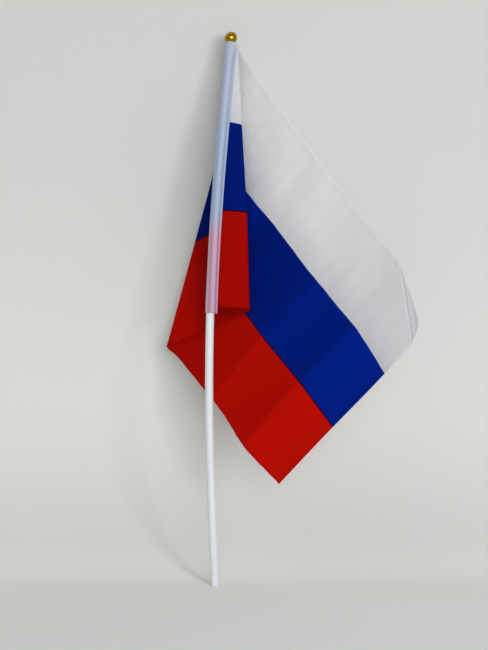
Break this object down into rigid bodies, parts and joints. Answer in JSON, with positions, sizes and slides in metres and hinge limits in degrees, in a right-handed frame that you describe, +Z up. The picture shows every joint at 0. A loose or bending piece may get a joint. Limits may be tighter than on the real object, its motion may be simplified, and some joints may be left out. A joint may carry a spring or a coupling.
{
  "type": "national flag on its stick",
  "caption": "Small hand flag of printed cloth in white, blue and red, hanging in soft folds from a white sleeve on a slim white stick with a gilt cap.",
  "frame": {"origin": "middle of the stick's flat foot", "axes": "+Z up the stick, +X towards the flag's free end, -Y the side that the picture shows"},
  "size_m": [0.1835, 0.1571, 0.4092],
  "materials": {
    "stick": "white extruded plastic, satin",
    "gilt": "gold vacuum-metallised plastic",
    "sleeve": "thin white woven polyester",
    "printed_cloth": "printed polyester in white, blue and red bands"
  },
  "bodies": {
    "root": {"staff": "stick", "finial": "gilt", "sleeve": "sleeve", "flag": "printed_cloth"}
  },
  "joints": []
}
